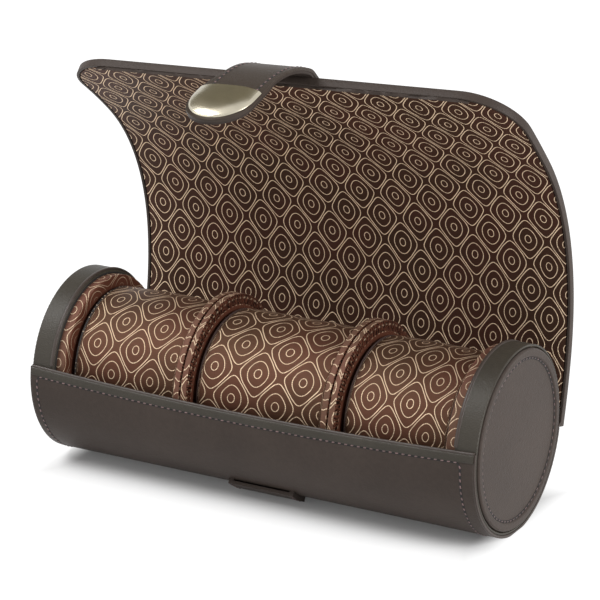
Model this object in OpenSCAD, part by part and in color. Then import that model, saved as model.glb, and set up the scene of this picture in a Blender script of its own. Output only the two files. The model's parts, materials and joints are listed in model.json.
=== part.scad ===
// Watch travel case: a leather covered roll for three watches, shown open.
// X runs along the barrel, -Y is the front with the fixed lip, +Z is up.
// The origin is on the table, under the middle of the barrel's axis.

/* [Barrel] */
// Length of the barrel over the leather
barrel_len = 240.5; // [220:0.5:260]
// Radius over the leather of an end rim
rim_r = 45; // [41:0.5:48]
// Width of the leather band round an end
rim_w = 11.8; // [9:0.2:15]
// Roundness of an end rim's inner edge
rim_edge_r = 1.8; // [1.3:0.1:2.4]
// Thickness of the outer leather
leather_t = 1.4; // [1:0.1:1.8]
// Thickness of the trough's board
trough_board_t = 1.6; // [1.2:0.1:2.2]
// Thickness of a lining cloth
lining_t = 0.6; // [0.4:0.1:0.9]
// Angle of the front lip above the middle of the front
lip_angle = 10; // [4:1:16]
// Angle of the trough's back edge below the middle of the back
back_angle = 12; // [8:1:14]
// How much lower the lip is at its middle than at its ends
lip_bow = 3.3; // [0:0.1:4]
// Depth of the flat that the barrel stands on
foot_flat = 0.5; // [0.3:0.1:0.7]

/* [Ends] */
// Thickness of an end's leather disc
end_disc_t = 3.4; // [2.6:0.1:4.5]
// Height of the disc's rolled edge over its middle
end_roll_h = 0.9; // [0.4:0.1:1.4]
// Width of the disc's rolled edge
end_roll_w = 4.4; // [3.5:0.1:6]
// Width of the groove between an end's disc and its rim
end_groove = 0.4; // [0.2:0.1:0.8]
// Thickness of the lined board inside each end
end_board_t = 5.2; // [3:0.1:6]

/* [Dividers] */
// Thickness of one divider board
divider_t = 3.8; // [2.8:0.1:4.6]
// Gap between a divider's two boards
divider_seam = 0.2; // [0.1:0.1:0.5]
// How far a divider stands up over the barrel's roundness
divider_rise = 1.6; // [0:0.1:1.8]
// Middle of the left divider along the barrel
divider_left_x = -38; // [-44:0.5:-32]
// Middle of the right divider along the barrel
divider_right_x = 41.8; // [34:0.1:46]

/* [Cushions] */
// Clearance between a cushion and the board beside it
cushion_side_gap = 1.5; // [0.8:0.1:2.5]
// Thickness of the pads under the cushions
trough_pad_t = 4.6; // [3:0.1:6]
// Clearance between a cushion and the pad under it
cushion_seat_gap = 0.3; // [0.2:0.1:0.6]
// Height of a cushion's crown over its ends
cushion_crown = 0.8; // [0.3:0.1:1.6]
// Radius of a cushion's rounded edge
cushion_edge_r = 4; // [2.5:0.1:5.5]
// How far a cushion's sides draw in at their middle
cushion_draw = 2.2; // [1:0.1:3.5]
// Thickness of a cushion's padded cover
cushion_cover_t = 3; // [2:0.1:4]
// Angle at which the pads under the cushions end below the front and the back
pad_end_angle = 16; // [10:1:25]

/* [Flap] */
// Width of the flap over its leather
flap_w = 236; // [216:0.5:240]
// Length of one panel of the flap, from fold to fold
panel_len = 28; // [27.6:0.1:30]
// Thickness of the flap's board
flap_board_t = 1.6; // [1:0.1:2]
// Thickness of the flap's quilted lining
flap_lining_t = 0.9; // [0.6:0.1:1.2]
// Radius of the flap's corners
flap_corner_r = 27; // [12:0.5:27.4]
// Width of the turned leather edge round the flap
flap_edge_w = 1.4; // [1:0.1:2]
// Gap between the flap's lining and its leather edge
flap_edge_gap = 0.5; // [0.2:0.1:1]
// Gap between two panels at a fold
fold_gap = 0.3; // [0.3:0.1:0.6]
// Angle that each panel's end leans back, so that the flap can open flatter
fold_relief_angle = 5; // [4.6:0.2:8]
// Distance of the flap's first fold behind the wrap
flap_standoff = 5.5; // [5:0.1:7]
// Height of the flap's first fold under the barrel's axis
flap_drop = 8.8; // [7:0.1:9]

/* [Spine] */
// Thickness of the board behind the barrel
spine_board_t = 1.9; // [1.4:0.1:2.2]
// Angle of the spine's lower edge below the back
spine_low_angle = 78; // [74:1:82]
// Angle where the spine leaves the barrel for the fold
spine_flare_angle = 20; // [18:1:26]

/* [Strap] */
// Width of the strap
strap_w = 28; // [24:0.5:29]
// Width of the strap's rounded end
tip_w = 31.5; // [30:0.5:34]
// Thickness of the strap's outer leather
strap_leather_t = 1.6; // [1.2:0.1:2]
// Thickness of the strap's backing leather
strap_backing_t = 1.3; // [1:0.1:1.8]
// Middle of the strap along the barrel
strap_x = 3.5; // [-10:0.5:10]
// Length of the strap's free tongue up to the plate
tongue_len = 48; // [42:0.5:50]
// Length of the strap's end piece under the plate
tip_len = 25; // [22:0.5:27]
// Sixths of the last panel that the strap is sewn to
strap_sewn_sixths = 5; // [3:1:5]
// Leather border past the metal plate's rounded end
plate_border = 2.2; // [1.5:0.1:3]
// Leather border beside the metal plate
plate_side = 0.4; // [0.2:0.1:1.5]
// Height of the metal plate's dome
plate_dome = 1.6; // [1:0.1:2.2]

/* [Keeper] */
// Width of the keeper loop
keeper_w = 35.5; // [34:0.5:42]
// Width of each of the keeper's sewn feet
keeper_foot_w = 2.4; // [1.8:0.1:3]
// Middle of the keeper along the barrel
keeper_x = -0.5; // [-8:0.5:8]
// Thickness of the keeper's leather
keeper_t = 1.6; // [1.2:0.1:2]
// Gap under the empty keeper
keeper_gap = 0.9; // [0.6:0.1:1.2]
// Angle of the keeper's mouth below the front
keeper_top_angle = 51; // [48:1:54]
// Angle of the keeper's lower edge below the front
keeper_low_angle = 67; // [64:1:68]

/* [Hidden] */

$fn = 96;
leather_colour = [0.29, 0.26, 0.24];
lining_colour = [0.30, 0.20, 0.16];
cushion_colour = [0.42, 0.30, 0.24];
board_colour = [0.62, 0.55, 0.45];
foam_colour = [0.85, 0.82, 0.72];
metal_colour = [0.78, 0.75, 0.66];

// Clearance between layers that lie face to face in the same body
layer_gap = 0.1;
// How far the board and the lining end under the lip
lip_turn = 0.6;
lining_step = 0.4;
// Thickness of the band round an end, and how far it is turned in over the core's inner face
rim_t = 1.2;
rim_turn_in = 6;
core_gap = 0.1;
// Rounding of leather edges, of board edges and of the divider's padded edge
leather_edge_r = 0.55;
board_edge_r = 0.8;
divider_edge_r = 0.9;
divider_edge_w = 4;
// Rounding of the end disc's rolled edge, and the doming of its middle
end_roll_r = 1.2;
end_dome = 0.5;
end_dome_gap = 1;
half_len = barrel_len / 2;
wrap_r = rim_r + layer_gap + leather_t;
axis_h = wrap_r - foot_flat;
board_out_r = rim_r;
board_in_r = board_out_r - trough_board_t;
liner_out_r = board_in_r - layer_gap;
liner_in_r = liner_out_r - lining_t;
bay_r = liner_in_r - layer_gap;
pad_in_r = bay_r - trough_pad_t;
cushion_r = pad_in_r - 2 * cushion_seat_gap;
cushion_drop = cushion_seat_gap;

rim_in_x = half_len - rim_w;
end_disc_r = rim_r - rim_t - end_groove;
end_face_x = half_len + end_roll_h;
bay_end_x = rim_in_x - layer_gap - end_board_t;
divider_half = divider_seam / 2 + divider_t;

flap_t = flap_lining_t + flap_board_t + leather_t;
flap_panels = 7;
// Angle by which the open flap's lining leans forward at each fold
open_angles = [-14, -8.5, 2, 15.5, 30.5, 46, 50, 47];
panel_steps = 6;
first_fold = [wrap_r + flap_standoff, -flap_drop];

strap_t = strap_leather_t + strap_backing_t;
// Angles by which the strap's back leans forward along its tongue and its tip
tongue_angles = [65, 75, 86, 96, 101, 106];
tip_angles = [107, 108.5, 110];
strap_fold_gap = 0.4;
// Distance from the strap's last fold to the plate's straight edge
plate_start = 1.2;
// How far the sewn strap runs past the flap's edge, and its clearance over the flap
root_overhang = 0.6;
root_gap = 0.05;

// A point at an angle from the back, counted upwards, in the barrel's cross-section
function polar(r, a) = [r * cos(a), r * sin(a)];
// Unit vectors along and out of a sheet that leans forward by an angle
function along(a) = [-sin(a), cos(a)];
function outward(a) = [cos(a), sin(a)];
function mix(a, b, t) = a + (b - a) * t;
// Running sum of a list of steps, starting at a point
function walk(p, steps, i = 0) =
    i >= len(steps) ? [p] : concat([p], walk(p + steps[i], steps, i + 1));
// Lean of a panel at a share of its length
function panel_lean(i, t) = mix(open_angles[i - 1], open_angles[i], t);
// The lining face of panel i, as points from its lower fold to its upper one
function panel_line(i) =
    walk(fold_point(i), [for (k = [0 : panel_steps - 1])
        along(panel_lean(i, (k + 0.5) / panel_steps)) * panel_len / panel_steps]);
function fold_point(i) = i == 1 ? first_fold : panel_line(i - 1)[panel_steps];
// Points of a band of a path between two heights over its face
function band(line, leans, h0, h1) = concat(
    [for (k = [0 : len(line) - 1]) line[k] + outward(leans[k]) * h0],
    [for (k = [len(line) - 1 : -1 : 0]) line[k] + outward(leans[k]) * h1]);
function panel_leans(i) = [for (k = [0 : panel_steps]) panel_lean(i, k / panel_steps)];
// The same panel line with half a fold gap taken off each end
function trimmed(line, leans, gap) = [for (k = [0 : len(line) - 1])
    k == 0 ? line[0] + along(leans[0]) * gap / 2
    : k == len(line) - 1 ? line[k] - along(leans[k]) * gap / 2
    : line[k]];

// Extrudes a cross-section of the barrel from x0 to x1
module run(x0, x1) {
    translate([x0, 0, axis_h]) rotate([90, 0, 90]) linear_extrude(x1 - x0) children();
}

// Turns a profile of x against radius about the barrel's axis
module turned() {
    translate([0, 0, axis_h]) rotate([0, 90, 0]) rotate_extrude($fn = 180) rotate(90) children();
}

// Part of a ring between two angles counted from the back
module ring_part(r0, r1, a0, a1) {
    reach = 3 * r1;
    intersection() {
        difference() {
            circle(r1, $fn = 180);
            circle(r0, $fn = 180);
        }
        polygon(concat([[0, 0]], [for (k = [0 : 6]) polar(reach, mix(a0, a1, k / 6))]));
    }
}

// A rectangle with rounded corners
module soft_rect(x0, y0, x1, y1, r) {
    translate([x0 + r, y0]) square([x1 - x0 - 2 * r, y1 - y0]);
    translate([x0, y0 + r]) square([x1 - x0, y1 - y0 - 2 * r]);
    for (x = [x0 + r, x1 - r]) for (y = [y0 + r, y1 - r]) translate([x, y]) circle(r, $fn = 32);
}

/* ---- barrel ---- */

lip_a = 180 - lip_angle;
back_a = 360 - back_angle;
lip_h = axis_h + wrap_r * sin(lip_angle);
lip_cuts = 24;

// Cuts the front along the lip, which is lower at its middle, and lower again by a drop
module under_lip(drop) {
    reach = half_len + 1;
    intersection() {
        children();
        union() {
            translate([-reach, 0, -1]) cube([2 * reach, 2 * wrap_r, 3 * wrap_r]);
            rotate([90, 0, 0]) linear_extrude(2 * wrap_r) polygon(concat(
                [[-reach, -1], [reach, -1]],
                [for (k = [0 : lip_cuts]) let (t = 1 - 2 * k / lip_cuts)
                    [reach * t, lip_h - drop - lip_bow * (1 - t * t)]]));
        }
    }
}

// Part of a ring of the barrel's cross-section, up to the lip at the front
module trough_ring(r0, r1) {
    above_table() ring_part(r0, r1, lip_a - 4, back_a);
}

module above_table() {
    intersection() {
        children();
        translate([-2 * wrap_r, -axis_h]) square([4 * wrap_r, 4 * wrap_r]);
    }
}

module trough_leather() {
    color(leather_colour) under_lip(0) run(-half_len, half_len) trough_ring(rim_r + layer_gap, wrap_r);
}

module trough_board() {
    color(board_colour) under_lip(lip_turn) run(-rim_in_x + layer_gap, rim_in_x - layer_gap)
        trough_ring(board_in_r, board_out_r);
}

module trough_lining() {
    color(lining_colour) under_lip(lip_turn + lining_step) run(-rim_in_x + layer_gap, rim_in_x - layer_gap)
        trough_ring(liner_in_r, liner_out_r);
}

// Left and right end of each cushion's bay
bays = [
    [-bay_end_x, divider_left_x - divider_half],
    [divider_left_x + divider_half, divider_right_x - divider_half],
    [divider_right_x + divider_half, bay_end_x]];

module trough_pads() {
    color(foam_colour) for (bay = bays)
        run(bay[0] + layer_gap, bay[1] - layer_gap)
            ring_part(pad_in_r, bay_r, 180 + pad_end_angle, 360 - pad_end_angle);
}

spine_board_r = wrap_r + layer_gap + spine_board_t;
spine_r = spine_board_r + layer_gap + leather_t;
spine_steps = 20;
// How far the spine's board ends inside its leather
spine_turn = 2;
spine_arc = [for (k = [0 : spine_steps]) mix(-spine_low_angle, -spine_flare_angle, k / spine_steps)];
// The spine's leather leaves the barrel's curve and ends at the flap's first fold
flare_low = [3.6, 4.2];
flare_middle = [1.8, 1.6];
flare_top = [0, 1.05];
flare_angles = [-30, -52, -73];
spine_flare = [for (p = [flare_low, flare_middle, flare_top]) first_fold - p];
flare_half = [for (a = flare_angles) outward(a) * leather_t / 2];

module spine_leather() {
    color(leather_colour) run(-flap_w / 2, flap_w / 2) above_table()
        polygon(concat(
            [for (a = spine_arc) polar(spine_r, a)],
            [for (k = [0 : 2]) spine_flare[k] + flare_half[k]],
            [for (k = [2 : -1 : 0]) spine_flare[k] - flare_half[k]],
            [for (k = [spine_steps : -1 : 0]) polar(spine_board_r + layer_gap, spine_arc[k])]));
}

module spine_board() {
    color(board_colour) run(-flap_w / 2 + spine_turn, flap_w / 2 - spine_turn) above_table()
        ring_part(wrap_r + layer_gap, spine_board_r, 361 - spine_low_angle, 355 - spine_flare_angle);
}

// Clearance under the keeper's sewn feet
keeper_seat_gap = 0.02;

module keeper_loop() {
    bridge_r = wrap_r + keeper_gap;
    out_r = bridge_r + keeper_t;
    inner_w = keeper_w / 2 - keeper_foot_w;
    a0 = 180 + keeper_top_angle;
    a1 = 180 + keeper_low_angle;
    color(leather_colour) {
        run(keeper_x - keeper_w / 2, keeper_x + keeper_w / 2) ring_part(bridge_r, out_r, a0, a1);
        run(keeper_x - keeper_w / 2, keeper_x - inner_w) ring_part(wrap_r + keeper_seat_gap, out_r, a0, a1);
        run(keeper_x + inner_w, keeper_x + keeper_w / 2) ring_part(wrap_r + keeper_seat_gap, out_r, a0, a1);
    }
}

/* ---- ends; side is -1 on the left and 1 on the right ---- */

module at_end(side) {
    mirror([side < 0 ? 1 : 0, 0, 0]) turned() children();
}

module end_core(side) {
    color(board_colour) at_end(side)
        translate([rim_in_x + rim_t + core_gap, 0])
            square([rim_w - rim_t - core_gap - end_disc_t + end_roll_h, rim_r - rim_t - core_gap]);
}

// The leather band with its edge turned in over the core's inner face
module end_rim(side) {
    color(leather_colour) at_end(side) {
        soft_rect(rim_in_x + rim_t - 0.1, rim_r - rim_t, half_len, rim_r, leather_edge_r);
        translate([rim_in_x, rim_r - rim_turn_in]) square([rim_t, rim_turn_in - rim_edge_r]);
        difference() {
            translate([rim_in_x + rim_edge_r, rim_r - rim_edge_r]) circle(rim_edge_r, $fn = 48);
            translate([rim_in_x + rim_t, rim_r - 2 * rim_edge_r])
                square([2 * rim_edge_r, 2 * rim_edge_r - rim_t]);
        }
    }
}

module end_disc(side) {
    base_x = end_face_x - end_disc_t + layer_gap;
    roll_mid = end_disc_r - end_roll_w / 2;
    color(leather_colour) at_end(side) {
        translate([base_x, 0]) square([end_disc_t - end_roll_h - layer_gap, end_disc_r - end_roll_r / 2]);
        soft_rect(base_x, end_disc_r - end_roll_w, end_face_x, end_disc_r, end_roll_r);
        polygon(concat([[base_x, 0]], [for (k = [0 : 8])
            [end_face_x - end_roll_h + end_dome * cos(k * 90 / 8), (roll_mid - end_dome_gap) * k / 8]],
            [[base_x, roll_mid - end_dome_gap]]));
    }
}

module end_board(side) {
    color(lining_colour) at_end(side)
        translate([bay_end_x, 0]) difference() {
            square([end_board_t, bay_r - layer_gap]);
            translate([-board_edge_r, bay_r - layer_gap - board_edge_r]) difference() {
                square(2 * board_edge_r);
                translate([2 * board_edge_r, 0]) circle(board_edge_r, $fn = 32);
            }
        }
}

/* ---- dividers ---- */

module divider_disc(x0, r) {
    turned() {
        translate([x0, 0]) square([divider_t, r - divider_edge_r]);
        soft_rect(x0, r - divider_edge_w, x0 + divider_t, r, divider_edge_r);
    }
}

module divider_board(x0) {
    color(lining_colour) {
        divider_disc(x0, bay_r - layer_gap);
        translate([0, 0, divider_rise]) divider_disc(x0, bay_r - 2 * layer_gap);
    }
}

/* ---- cushions ---- */

// Half of the outline of a cushion from x0 to x1, with a crown and drawn-in sides
module cushion_outline(x0, x1, inset) {
    mid = (x0 + x1) / 2;
    half = (x1 - x0) / 2 - inset;
    r_end = cushion_r - cushion_crown - inset;
    edge = max(0.4, cushion_edge_r - inset);
    side = [for (k = [0 : 6]) [half - cushion_draw * (1 - pow(k / 6, 2)), (r_end - edge) * k / 6]];
    turn = 90 / 8;
    corner = [for (k = [1 : 7]) [half - edge + edge * cos(k * turn), r_end - edge + edge * sin(k * turn)]];
    crown = [for (k = [6 : -1 : 0]) [(half - edge) * k / 6, r_end + cushion_crown * cos(k * 15)]];
    flank = concat(side, corner, crown);
    polygon(concat([for (p = flank) [mid + p[0], p[1]]],
        [for (k = [len(flank) - 2 : -1 : 0]) [mid - flank[k][0], flank[k][1]]]));
}

module at_cushion() {
    translate([0, 0, -cushion_drop]) turned() children();
}

module cushion_cover(i) {
    x0 = bays[i - 1][0] + cushion_side_gap;
    x1 = bays[i - 1][1] - cushion_side_gap;
    color(cushion_colour) at_cushion() difference() {
        cushion_outline(x0, x1, 0);
        cushion_outline(x0, x1, cushion_cover_t);
    }
}

module cushion_core(i) {
    x0 = bays[i - 1][0] + cushion_side_gap;
    x1 = bays[i - 1][1] - cushion_side_gap;
    color(foam_colour) at_cushion() cushion_outline(x0, x1, cushion_cover_t + layer_gap);
}

/* ---- flap ---- */

// Keeps what lies inside the flap's outline, drawn in by an inset, on panel i
module inside_outline(i, inset) {
    half = flap_w / 2 - inset;
    r = flap_corner_r - inset;
    lean = open_angles[i - 1] / 2 + open_angles[i] / 2;
    p = fold_point(i);
    top = panel_len - fold_gap / 2 - inset;
    deep = 4 * flap_t;
    if (i < flap_panels) {
        intersection() {
            children();
            translate([-half, p[0] - 2 * panel_len, axis_h + p[1] - 2 * panel_len])
                cube([2 * half, 4 * panel_len, 4 * panel_len]);
        }
    } else {
        intersection() {
            children();
            translate([0, p[0], axis_h + p[1]]) rotate([lean, 0, 0]) rotate([90, 0, 0])
                translate([0, 0, -deep]) linear_extrude(2 * deep) {
                    translate([-half, -deep]) square([2 * half, top - r + deep]);
                    translate([-half + r, -deep]) square([2 * (half - r), top + deep]);
                    for (s = [-1, 1]) translate([s * (half - r), top - r]) circle(r, $fn = 96);
                }
        }
    }
}

// The leans of a panel with both of its ends leaning back by the relief
function relieved(leans) = [for (k = [0 : len(leans) - 1])
    leans[k] + (k == 0 ? fold_relief_angle : k == len(leans) - 1 ? -fold_relief_angle : 0)];

module panel_band(i, h0, h1, w) {
    leans = panel_leans(i);
    run(-w / 2, w / 2) polygon(band(trimmed(panel_line(i), leans, fold_gap), relieved(leans), h0, h1));
}

module flap_lining(i) {
    color(lining_colour) inside_outline(i, flap_edge_w + flap_edge_gap)
        panel_band(i, 0, flap_lining_t, flap_w);
}

module flap_board(i) {
    color(board_colour) inside_outline(i, flap_edge_w + layer_gap)
        panel_band(i, flap_lining_t, flap_lining_t + flap_board_t, flap_w);
}

module flap_leather(i) {
    color(leather_colour) {
        inside_outline(i, 0) panel_band(i, flap_lining_t + flap_board_t, flap_t, flap_w);
        difference() {
            inside_outline(i, 0) panel_band(i, 0, flap_t, flap_w);
            inside_outline(i, flap_edge_w) panel_band_long(i, -leather_t, flap_t + leather_t, 2 * flap_w);
        }
    }
}

// A panel's band with straight ends that run past both folds, for cutting
module panel_band_long(i, h0, h1, w) {
    line = panel_line(i);
    leans = panel_leans(i);
    n = len(line) - 1;
    long_line = [for (k = [0 : n]) k == 0 ? line[0] - along(leans[0]) * flap_t
        : k == n ? line[n] + along(leans[n]) * flap_t : line[k]];
    run(-w / 2, w / 2) polygon(band(long_line, leans, h0, h1));
}

/* ---- strap ---- */

flap_end_lean = open_angles[flap_panels];
root_from = panel_steps - strap_sewn_sixths;
root_lean = [for (k = [root_from : panel_steps]) panel_lean(flap_panels, k / panel_steps)];
root_line = [for (k = [0 : strap_sewn_sixths])
    panel_line(flap_panels)[root_from + k] + outward(root_lean[k]) * (flap_t + root_gap)
        + along(root_lean[k]) * (k == strap_sewn_sixths ? root_overhang : 0)];
tongue_line = walk(root_line[strap_sewn_sixths] + along(flap_end_lean) * strap_fold_gap,
    [for (k = [0 : len(tongue_angles) - 2])
        along((tongue_angles[k] + tongue_angles[k + 1]) / 2) * tongue_len / (len(tongue_angles) - 1)]);
tongue_end = tongue_line[len(tongue_angles) - 1];
tip_line = walk(tongue_end + along((tongue_angles[5] + tip_angles[0]) / 2) * strap_fold_gap,
    [for (k = [0 : len(tip_angles) - 2])
        along((tip_angles[k] + tip_angles[k + 1]) / 2) * tip_len / (len(tip_angles) - 1)]);

module strap_run(line, leans, h0, h1, w) {
    run(strap_x - w / 2, strap_x + w / 2) polygon(band(line, leans, h0, h1));
}

// The strap's rounded end from a start onwards, drawn in at its sides and its end, in the tip's own plane
module tip_outline(start, side, border) {
    lean = tip_angles[1];
    half = tip_w / 2 - side;
    deep = tip_len;
    end = tip_len - border;
    translate([strap_x, tip_line[0][0], axis_h + tip_line[0][1]])
        rotate([lean, 0, 0]) rotate([90, 0, 0]) translate([0, 0, -deep]) linear_extrude(2 * deep)
            intersection() {
                translate([-half, start]) square([2 * half, end - start]);
                union() {
                    translate([-half, start - 1]) square([2 * half, end - half - start + 1]);
                    translate([0, end - half]) circle(half, $fn = 96);
                }
            }
}

module strap_tip_layer(h0, h1) {
    intersection() {
        strap_run(tip_line, tip_angles, h0, h1, tip_w);
        tip_outline(-tip_w / 8, 0, 0);
    }
}

module strap_plate() {
    color(metal_colour) intersection() {
        strap_run(tip_line, tip_angles, strap_t, strap_t + plate_dome, tip_w);
        tip_outline(plate_start, plate_side, plate_border);
    }
}

/* ---- nodes ---- */

trough_leather();
trough_board();
trough_lining();
trough_pads();
spine_leather();
spine_board();
keeper_loop();
end_core(-1);  // left_end_core
end_rim(-1);  // left_end_rim
end_disc(-1);  // left_end_disc
end_board(-1);  // left_end_board
end_core(1);  // right_end_core
end_rim(1);  // right_end_rim
end_disc(1);  // right_end_disc
end_board(1);  // right_end_board
divider_board(divider_left_x - divider_half);  // divider_1_left
divider_board(divider_left_x + divider_seam / 2);  // divider_1_right
divider_board(divider_right_x - divider_half);  // divider_2_left
divider_board(divider_right_x + divider_seam / 2);  // divider_2_right
cushion_cover(1);  // cushion_1_cover
cushion_core(1);  // cushion_1_core
cushion_cover(2);  // cushion_2_cover
cushion_core(2);  // cushion_2_core
cushion_cover(3);  // cushion_3_cover
cushion_core(3);  // cushion_3_core
for (i = [1 : flap_panels]) {
    flap_leather(i);
    flap_board(i);
    flap_lining(i);
}
color(leather_colour) strap_run(root_line, root_lean, strap_backing_t, strap_t, strap_w);  // strap_root_leather
color(leather_colour) strap_run(root_line, root_lean, 0, strap_backing_t, strap_w);  // strap_root_backing
color(leather_colour) strap_run(tongue_line, tongue_angles, strap_backing_t, strap_t, strap_w);  // strap_tongue_leather
color(leather_colour) strap_run(tongue_line, tongue_angles, 0, strap_backing_t, strap_w);  // strap_tongue_backing
color(leather_colour) strap_tip_layer(strap_backing_t, strap_t);  // strap_tip_leather
color(leather_colour) strap_tip_layer(0, strap_backing_t);  // strap_tip_backing
strap_plate();
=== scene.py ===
import json
import math
from functools import partialmethod

import bpy
import numpy as np
from mathutils import Matrix, Vector


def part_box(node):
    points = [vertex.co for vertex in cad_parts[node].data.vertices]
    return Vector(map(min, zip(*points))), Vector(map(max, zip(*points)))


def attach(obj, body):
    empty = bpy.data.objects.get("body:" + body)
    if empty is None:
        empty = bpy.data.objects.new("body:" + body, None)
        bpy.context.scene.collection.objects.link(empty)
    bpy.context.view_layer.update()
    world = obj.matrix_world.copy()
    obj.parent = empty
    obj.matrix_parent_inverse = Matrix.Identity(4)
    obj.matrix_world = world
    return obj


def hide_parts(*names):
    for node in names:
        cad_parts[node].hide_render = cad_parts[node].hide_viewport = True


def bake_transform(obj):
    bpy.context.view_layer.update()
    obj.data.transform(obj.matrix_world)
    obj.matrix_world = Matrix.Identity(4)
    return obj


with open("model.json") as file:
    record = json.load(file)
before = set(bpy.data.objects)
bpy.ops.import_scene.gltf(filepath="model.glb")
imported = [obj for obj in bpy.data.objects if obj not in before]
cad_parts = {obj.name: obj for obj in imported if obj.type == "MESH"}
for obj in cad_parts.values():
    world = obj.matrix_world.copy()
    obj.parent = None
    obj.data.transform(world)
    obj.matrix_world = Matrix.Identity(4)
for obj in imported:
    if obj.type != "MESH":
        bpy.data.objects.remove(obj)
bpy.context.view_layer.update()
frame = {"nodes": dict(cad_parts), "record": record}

bl_info = {
    "name": "Watch Travel Case",
    "version": (1, 0, 0),
    "blender": (4, 5, 0),
    "location": "View3D > Sidebar > Watch Case",
    "description": "Builds an open watch roll with a curling flap, cushions and a strap",
    "category": "Object",
}

MM = 0.001
TURN = 2 * math.pi
# height of the barrel's axis over the table, in metres; the other sizes here are in millimetres
AXIS_H = 0.046
AXIS_MM = AXIS_H / MM
BARREL_HALF = 120.25
# radii of the trough's leather and of the rolls that finish its edges
WRAP_R = 46.5
ROLL_R = 45.8

# ---- the sheet paths

FLAP_LEAN = [-14, -8.5, 2, 15.5, 30.5, 46, 50, 47]
PANEL = 28.0
PANELS = 7
FLAP_LEN = PANELS * PANEL
FLAP_T = 3.9
FLAP_HALF = 118.0
TWIST_FROM = 60
FIRST_FOLD = (52.0, -8.8)
STRAP_T = 2.9
STRAP_KNOTS = [0, 3, 10.0, 19.6, 29.2, 38.8, 48.4, 61.3, 73.8]
STRAP_LEAN = [50, 69, 76, 86, 96, 101, 106, 108.5, 110]
STRAP_END = 73.8
STRAP_HALF = 14.0
# the strap's free part starts this far along the flap, and this high over the flap's inner face
STRAP_FROM = FLAP_LEN + 0.6
STRAP_OVER = FLAP_T + 0.05
# the strap's end is wider than the strap by this share, from a length on
TIP_FLARE = 31.5 / 28
FLARE_FROM = 32
FLARE_RUN = 16
SIDES = (("left", -1), ("right", 1))


class Path:
    """A curved line in the case's cross-section, in millimetres, with the lean of a sheet along it"""

    def __init__(self, knots, leans, start, step=0.05):
        self.s = np.arange(knots[0], knots[-1] + step / 2, step)
        self.lean = np.radians(np.interp(self.s, knots, leans))
        half = (self.lean[1:] + self.lean[:-1]) / 2
        self.y = start[0] + np.concatenate([[0], np.cumsum(-np.sin(half) * step)])
        self.z = start[1] + np.concatenate([[0], np.cumsum(np.cos(half) * step)])

    def at(self, s, h=0.0):
        """Points at lengths s along the path and heights h over it, as y and z"""
        lean = np.interp(s, self.s, self.lean)
        # past the ends the path goes on straight
        over = np.where(s > self.s[-1], s - self.s[-1], np.where(s < self.s[0], s - self.s[0], 0.0))
        y = np.interp(s, self.s, self.y) - np.sin(lean) * over + h * np.cos(lean)
        z = np.interp(s, self.s, self.z) + np.cos(lean) * over + h * np.sin(lean)
        return y, z


FLAP = Path([i * PANEL for i in range(PANELS + 1)], FLAP_LEAN, FIRST_FOLD)
_end_y, _end_z = FLAP.at(np.array([STRAP_FROM]), STRAP_OVER)
STRAP = Path(STRAP_KNOTS, STRAP_LEAN, (float(_end_y[0]), float(_end_z[0])))


def flap_point(x, s, h, twist):
    """Flat flap coordinates in millimetres to the row frame in metres"""
    y, z = FLAP.at(s, h)
    sy, sz = twist_shift(x, s, twist)
    return np.stack([x * MM, (y + sy) * MM, (z + sz) * MM + AXIS_H], -1)


def twist_shift(x, s, twist):
    """How far the soft flap's twist moves a point backwards and upwards"""
    share = np.clip((s - TWIST_FROM) / (FLAP_LEN - TWIST_FROM), 0, 1) ** 2
    lean = np.interp(s, FLAP.s, FLAP.lean)
    shift = twist * share * x / FLAP_HALF
    return shift * np.cos(lean), shift * np.sin(lean)


def strap_point(x, s, h, middle, twist):
    """Flat strap coordinates in millimetres to the row frame in metres"""
    on_flap = s < 0
    y1, z1 = FLAP.at(np.where(on_flap, STRAP_FROM + s, 0.0), h + STRAP_OVER)
    y2, z2 = STRAP.at(np.where(on_flap, 0.0, s), h)
    sy, sz = twist_shift(x + middle, np.minimum(STRAP_FROM + s, FLAP_LEN), twist)
    y = np.where(on_flap, y1, y2) + sy
    z = np.where(on_flap, z1, z2) + sz
    return np.stack([(x + middle) * MM, y * MM, z * MM + AXIS_H], -1)


def tip_flare(s):
    """Share by which the strap widens towards its rounded end"""
    t = np.clip((s - FLARE_FROM) / FLARE_RUN, 0, 1)
    return 1 + (TIP_FLARE - 1) * t * t * (3 - 2 * t)


# ---- shader maths


class Wire:
    """A value in a material, so that shader maths reads as plain expressions"""

    def __init__(self, finish, socket):
        self.finish = finish
        self.socket = socket

    def maths(self, operation, *others):
        values = {i: v for i, v in enumerate((self,) + others)}
        return self.finish.node("ShaderNodeMath", {"operation": operation}, values)

    def __rsub__(self, other):
        return self.finish.node("ShaderNodeMath", {"operation": "SUBTRACT"}, {0: other, 1: self})

    def __abs__(self):
        return self.maths("ABSOLUTE")

    __add__ = __radd__ = partialmethod(maths, "ADD")
    __sub__ = partialmethod(maths, "SUBTRACT")
    __mul__ = __rmul__ = partialmethod(maths, "MULTIPLY")
    __truediv__ = partialmethod(maths, "DIVIDE")

    def smooth(self, low, high):
        """0 below low and 1 above high, with a soft step between them"""
        steps = {0: self, 1: low, 2: high, 3: 0.0, 4: 1.0}
        return self.finish.node("ShaderNodeMapRange", {"interpolation_type": "SMOOTHSTEP"}, steps)


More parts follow.
